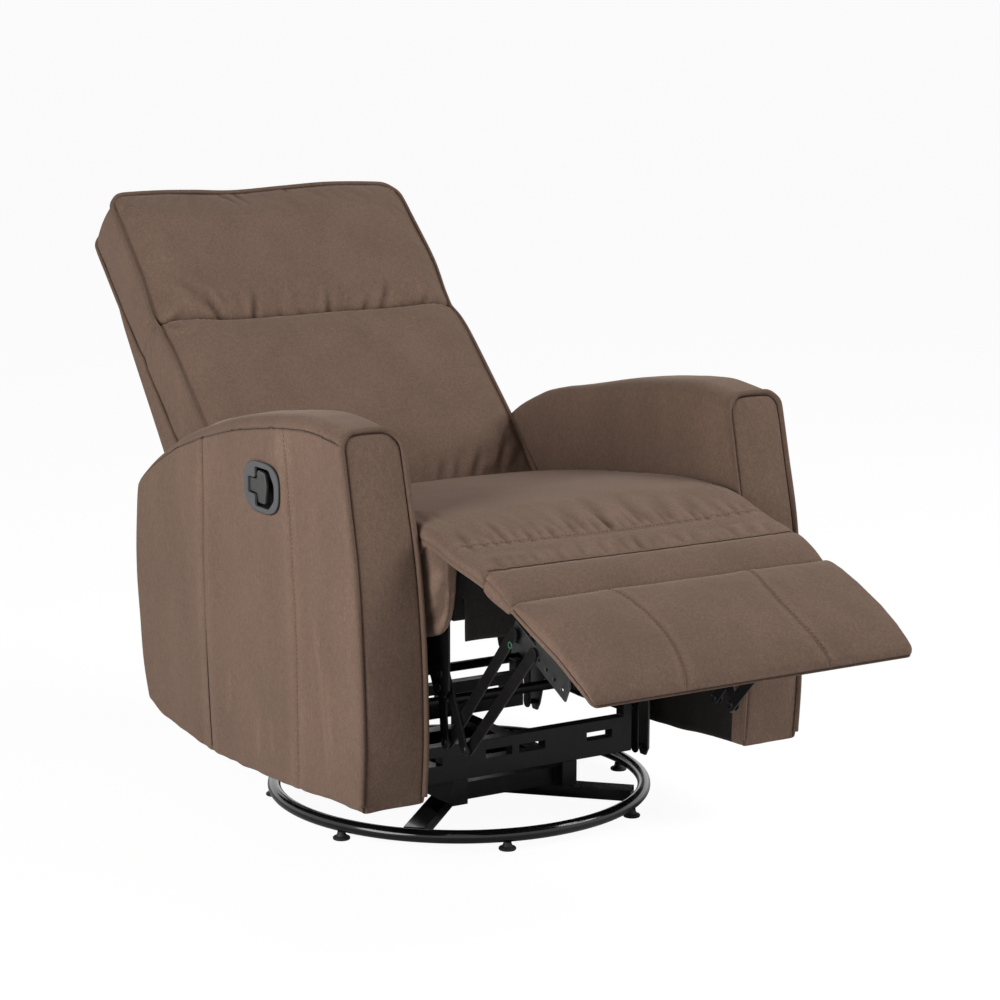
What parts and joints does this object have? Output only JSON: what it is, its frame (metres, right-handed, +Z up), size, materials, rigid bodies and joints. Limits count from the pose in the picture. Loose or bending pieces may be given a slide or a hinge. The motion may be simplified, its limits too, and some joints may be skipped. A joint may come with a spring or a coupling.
{
  "type": "swivel glider recliner",
  "caption": "Upholstered recliner armchair that swivels and glides on a round steel ring base, with a reclining back, a padded fold-out footrest and a pull lever in one arm.",
  "frame": {"origin": "on the floor under the middle of the chair, 18 mm in front of the axis about which it swivels", "axes": "+Z up; the sitter looks along -Y; +X to the sitter's left"},
  "size_m": [0.7533, 1.4912, 0.8752],
  "materials": {
    "upholstery": "brushed taupe brown microfibre with welted seams",
    "black_steel": "satin black paint",
    "gloss_steel": "gloss black powder coat",
    "grey_steel": "plain grey sheet steel",
    "spring_steel": "oiled spring wire",
    "timber": "bare plywood",
    "grey_plastic": "satin moulded plastic",
    "black_rubber": "matt black"
  },
  "bodies": {
    "base": {"base_ring": "gloss_steel", "base_cross": "gloss_steel", "bearing_race": "grey_steel", "floor_pad_1": "black_rubber", "floor_pad_2": "black_rubber", "floor_pad_3": "black_rubber", "floor_pad_4": "black_rubber", "floor_pad_5": "black_rubber", "floor_pad_6": "black_rubber", "floor_pad_7": "black_rubber"},
    "swivel": {"swivel_plate": "black_steel", "swivel_bolt": "grey_steel", "glider_beam_front": "black_steel", "glider_beam_rear": "black_steel"},
    "glide_link_front_left": {"glide_link_front_left": "black_steel"},
    "glide_link_front_right": {"glide_link_front_right": "black_steel"},
    "glide_link_rear_left": {"glide_link_rear_left": "black_steel"},
    "glide_link_rear_right": {"glide_link_rear_right": "black_steel"},
    "chair": {"side_rail_left": "grey_steel", "side_rail_right": "grey_steel", "cross_tube_front": "black_steel", "cross_tube_rear": "black_steel", "arm_left": "upholstery", "arm_right": "upholstery", "arm_frame_left": "timber", "arm_frame_right": "timber", "handle_cup": "grey_plastic", "release_cable": "black_rubber"},
    "handle": {"release_handle": "grey_plastic"},
    "seat": {"seat_rail_front": "timber", "seat_rail_rear": "timber", "seat_side_left": "timber", "seat_side_right": "timber", "spring_deck": "spring_steel", "seat_cushion": "upholstery", "seat_plate_left": "black_steel", "seat_plate_right": "black_steel"},
    "swing_link_front_left": {"swing_link_front_left": "black_steel"},
    "swing_link_front_right": {"swing_link_front_right": "black_steel"},
    "swing_link_rear_left": {"swing_link_rear_left": "black_steel"},
    "swing_link_rear_right": {"swing_link_rear_right": "black_steel"},
    "back": {"outer_back": "upholstery", "lumbar_cushion": "upholstery", "head_cushion": "upholstery", "back_bracket_left": "black_steel", "back_bracket_right": "black_steel"},
    "footrest": {"footrest_pad": "upholstery", "footrest_board": "timber", "ottoman_bracket_left": "grey_steel", "ottoman_bracket_right": "grey_steel"},
    "rear_crank_left": {"rear_crank_left": "black_steel"},
    "rear_crank_right": {"rear_crank_right": "black_steel"},
    "front_crank_left": {"front_crank_left": "black_steel"},
    "front_crank_right": {"front_crank_right": "black_steel"},
    "rear_link_left": {"rear_link_left": "black_steel"},
    "rear_link_right": {"rear_link_right": "black_steel"},
    "front_link_left": {"front_link_left": "black_steel"},
    "front_link_right": {"front_link_right": "black_steel"}
  },
  "joints": [
    {"name": "swivel", "type": "hinge", "parent": "base", "child": "swivel", "pos_m": [0, 0.018, 0], "axis": [0, 0, 1], "continuous": true},
    {"name": "glide", "type": "hinge", "parent": "swivel", "child": "glide_link_front_left", "pos_m": [0.2237, -0.137, 0.145], "axis": [1, 0, 0], "range_deg": [-22, 22]},
    {"name": "glide_link_front_right", "type": "hinge", "parent": "swivel", "child": "glide_link_front_right", "pos_m": [-0.2237, -0.137, 0.145], "axis": [1, 0, 0], "range_deg": [-22, 22]},
    {"name": "glide_link_rear_left", "type": "hinge", "parent": "swivel", "child": "glide_link_rear_left", "pos_m": [0.2237, 0.173, 0.145], "axis": [1, 0, 0], "range_deg": [-22, 22]},
    {"name": "glide_link_rear_right", "type": "hinge", "parent": "swivel", "child": "glide_link_rear_right", "pos_m": [-0.2237, 0.173, 0.145], "axis": [1, 0, 0], "range_deg": [-22, 22]},
    {"name": "glide_hang", "type": "hinge", "parent": "glide_link_front_left", "child": "chair", "pos_m": [0.2237, -0.137, 0.08], "axis": [1, 0, 0], "range_deg": [-22, 22]},
    {"name": "seat_travel", "type": "slide", "parent": "chair", "child": "seat", "axis": [0, 1, 0], "range_m": [-0.001, 0.061]},
    {"name": "back_recline", "type": "hinge", "parent": "seat", "child": "back", "pos_m": [0, 0.236, 0.412], "axis": [1, 0, 0], "range_deg": [0, 30]},
    {"name": "swing_front_left", "type": "hinge", "parent": "chair", "child": "swing_link_front_left", "pos_m": [0.2317, -0.132, 0.19], "axis": [1, 0, 0], "range_deg": [-24.3, 0]},
    {"name": "swing_front_right", "type": "hinge", "parent": "chair", "child": "swing_link_front_right", "pos_m": [-0.2317, -0.132, 0.19], "axis": [1, 0, 0], "range_deg": [-24.3, 0]},
    {"name": "swing_rear_left", "type": "hinge", "parent": "chair", "child": "swing_link_rear_left", "pos_m": [0.2317, 0.168, 0.19], "axis": [1, 0, 0], "range_deg": [-24.3, 0]},
    {"name": "swing_rear_right", "type": "hinge", "parent": "chair", "child": "swing_link_rear_right", "pos_m": [-0.2317, 0.168, 0.19], "axis": [1, 0, 0], "range_deg": [-24.3, 0]},
    {"name": "footrest_fold", "type": "hinge", "parent": "seat", "child": "footrest", "pos_m": [0, -0.492, 0.472], "axis": [1, 0, 0], "range_deg": [0, 66]},
    {"name": "rear_crank_left", "type": "hinge", "parent": "seat", "child": "rear_crank_left", "pos_m": [0.2357, -0.327, 0.282], "axis": [1, 0, 0], "range_deg": [0, 66]},
    {"name": "rear_crank_right", "type": "hinge", "parent": "seat", "child": "rear_crank_right", "pos_m": [-0.2357, -0.327, 0.282], "axis": [1, 0, 0], "range_deg": [0, 66]},
    {"name": "front_crank_left", "type": "hinge", "parent": "seat", "child": "front_crank_left", "pos_m": [0.2317, -0.331, 0.302], "axis": [1, 0, 0], "range_deg": [0, 66]},
    {"name": "front_crank_right", "type": "hinge", "parent": "seat", "child": "front_crank_right", "pos_m": [-0.2317, -0.331, 0.302], "axis": [1, 0, 0], "range_deg": [0, 66]},
    {"name": "rear_link_left", "type": "hinge", "parent": "rear_crank_left", "child": "rear_link_left", "pos_m": [0.2277, -0.335, 0.203], "axis": [1, 0, 0], "range_deg": [-66, 0]},
    {"name": "rear_link_right", "type": "hinge", "parent": "rear_crank_right", "child": "rear_link_right", "pos_m": [-0.2277, -0.335, 0.203], "axis": [1, 0, 0], "range_deg": [-66, 0]},
    {"name": "front_link_left", "type": "hinge", "parent": "front_crank_left", "child": "front_link_left", "pos_m": [0.2237, -0.381, 0.203], "axis": [1, 0, 0], "range_deg": [-66, 0]},
    {"name": "front_link_right", "type": "hinge", "parent": "front_crank_right", "child": "front_link_right", "pos_m": [-0.2237, -0.381, 0.203], "axis": [1, 0, 0], "range_deg": [-66, 0]},
    {"name": "release_handle", "type": "hinge", "parent": "chair", "child": "handle", "pos_m": [-0.37, -0.032, 0.534], "axis": [0, 0, -1], "range_deg": [0, 28], "stiffness_Nm_per_rad": 0.15}
  ],
  "couplings": [
    {"joint": "glide_link_front_right", "follows": "glide", "ratio": 1},
    {"joint": "glide_link_rear_left", "follows": "glide", "ratio": 1},
    {"joint": "glide_link_rear_right", "follows": "glide", "ratio": 1},
    {"joint": "glide_hang", "follows": "glide", "ratio": -1},
    {"joint": "seat_travel", "follows": "back_recline", "m_per_rad": 0.11459},
    {"joint": "swing_front_left", "follows": "back_recline", "ratio": -0.8063},
    {"joint": "swing_front_right", "follows": "back_recline", "ratio": -0.8063},
    {"joint": "swing_rear_left", "follows": "back_recline", "ratio": -0.8063},
    {"joint": "swing_rear_right", "follows": "back_recline", "ratio": -0.8063},
    {"joint": "rear_crank_left", "follows": "footrest_fold", "ratio": 1},
    {"joint": "rear_crank_right", "follows": "footrest_fold", "ratio": 1},
    {"joint": "front_crank_left", "follows": "footrest_fold", "ratio": 1},
    {"joint": "front_crank_right", "follows": "footrest_fold", "ratio": 1},
    {"joint": "rear_link_left", "follows": "footrest_fold", "ratio": -1},
    {"joint": "rear_link_right", "follows": "footrest_fold", "ratio": -1},
    {"joint": "front_link_left", "follows": "footrest_fold", "ratio": -1},
    {"joint": "front_link_right", "follows": "footrest_fold", "ratio": -1}
  ]
}
